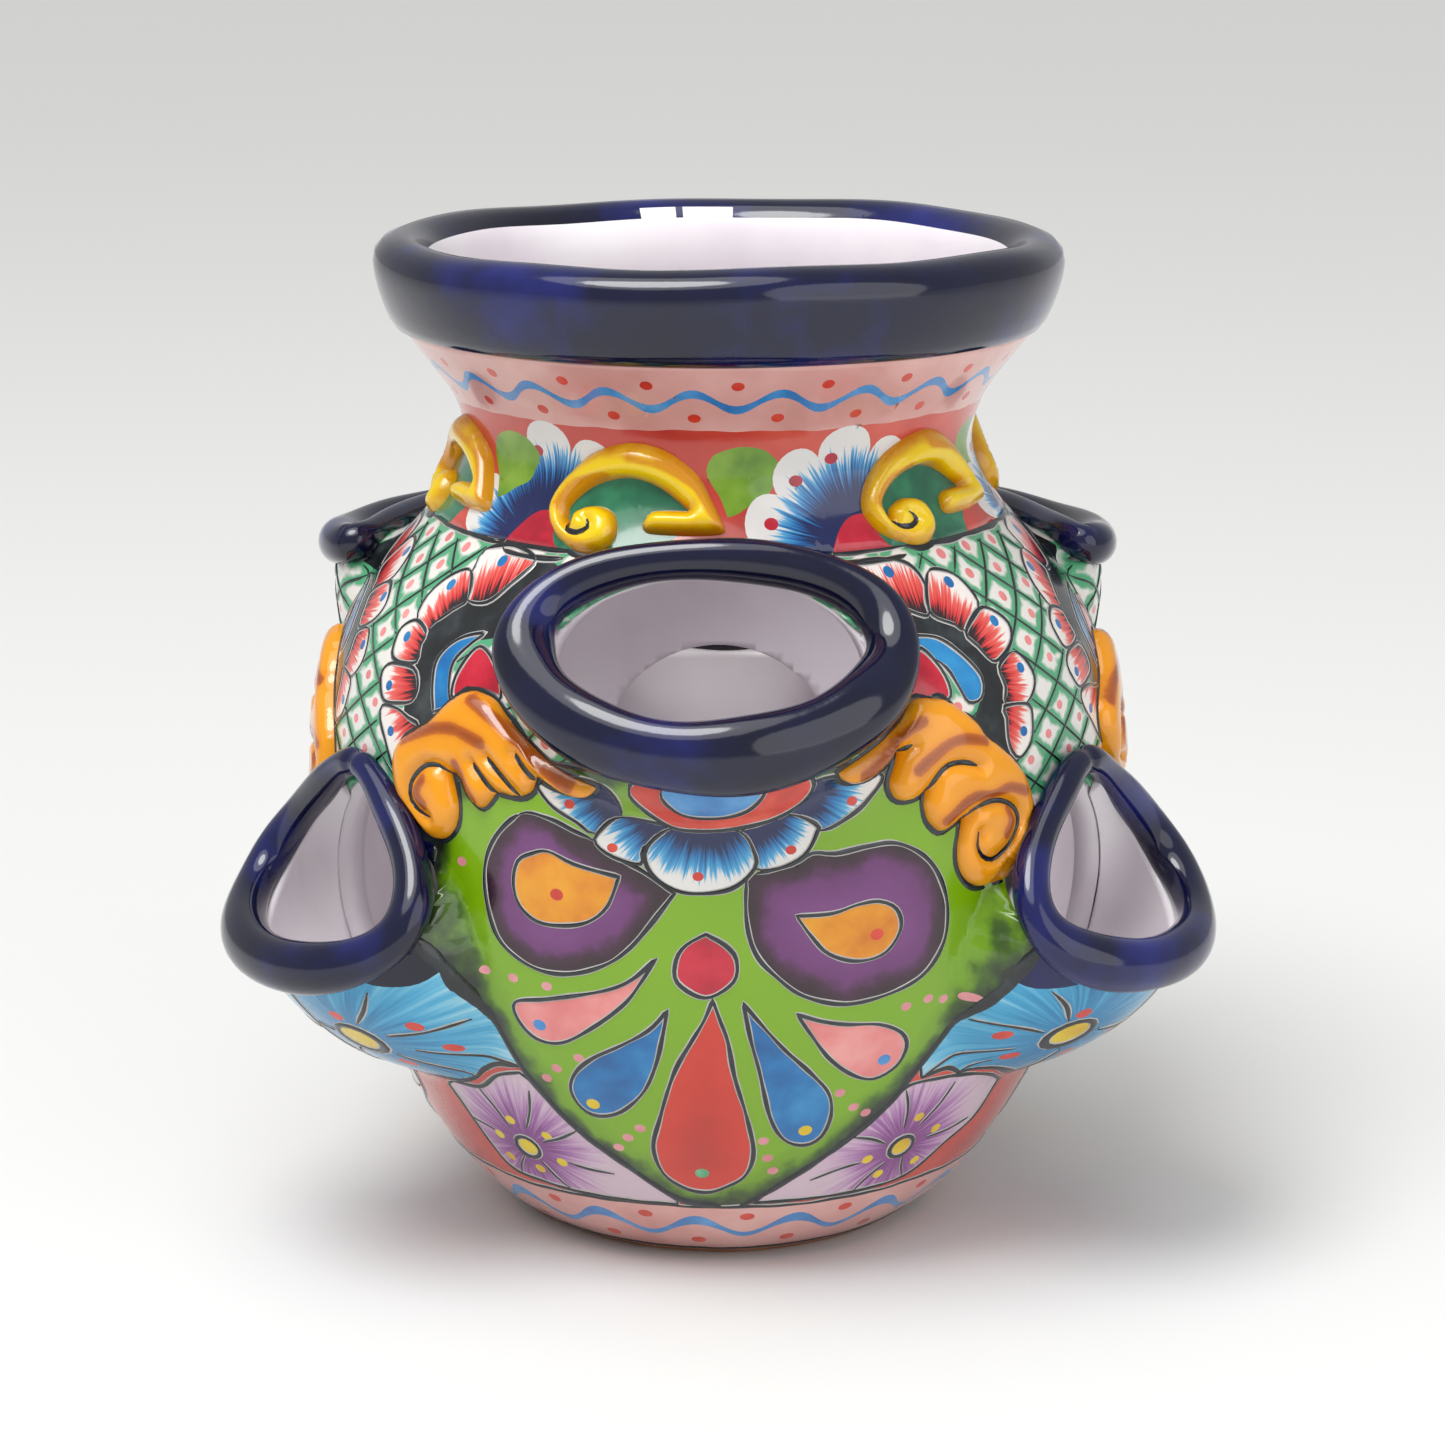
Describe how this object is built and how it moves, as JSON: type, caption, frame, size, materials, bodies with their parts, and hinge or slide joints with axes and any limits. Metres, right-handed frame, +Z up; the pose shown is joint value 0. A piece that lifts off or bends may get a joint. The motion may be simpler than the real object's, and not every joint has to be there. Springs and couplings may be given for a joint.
{
  "type": "strawberry planter",
  "caption": "Round glazed earthenware planter with a flared neck, thick rolled rim and open lipped planting pockets round its belly.",
  "frame": {"origin": "centre of the foot, on the surface the pot stands on", "axes": "+Z up along the pot's axis, front upper pocket towards -Y, +X to the right seen from the front"},
  "size_m": [0.2948, 0.31, 0.305],
  "materials": {
    "cobalt_glaze": "high-gloss cobalt glaze",
    "painted_belly": "hand-painted glossy glaze, many colours",
    "painted_neck": "hand-painted glossy glaze, pale pink and coral bands",
    "painted_cup": "hand-painted glossy glaze, sky blue over coral",
    "yellow_glaze": "glossy yellow glaze with black outline",
    "orange_glaze": "glossy orange glaze with brown brush stripes"
  },
  "bodies": {
    "root": {"base_slab": "cobalt_glaze", "belly_shell": "painted_belly", "neck_collar": "painted_neck", "rim_roll": "cobalt_glaze", "upper_front_cup": "painted_cup", "upper_right_cup": "painted_cup", "upper_left_cup": "painted_cup", "lower_right_cup": "painted_cup", "lower_left_cup": "painted_cup", "lower_rear_cup": "painted_cup", "upper_front_lip": "cobalt_glaze", "upper_right_lip": "cobalt_glaze", "upper_left_lip": "cobalt_glaze", "lower_right_lip": "cobalt_glaze", "lower_left_lip": "cobalt_glaze", "lower_rear_lip": "cobalt_glaze", "neck_scroll_1": "yellow_glaze", "neck_scroll_2": "yellow_glaze", "neck_scroll_3": "yellow_glaze", "neck_scroll_4": "yellow_glaze", "neck_scroll_5": "yellow_glaze", "neck_scroll_6": "yellow_glaze", "curl_front_left": "orange_glaze", "curl_front_right": "orange_glaze", "curl_right_left": "orange_glaze", "curl_right_right": "orange_glaze", "curl_left_left": "orange_glaze", "curl_left_right": "orange_glaze"}
  },
  "joints": []
}
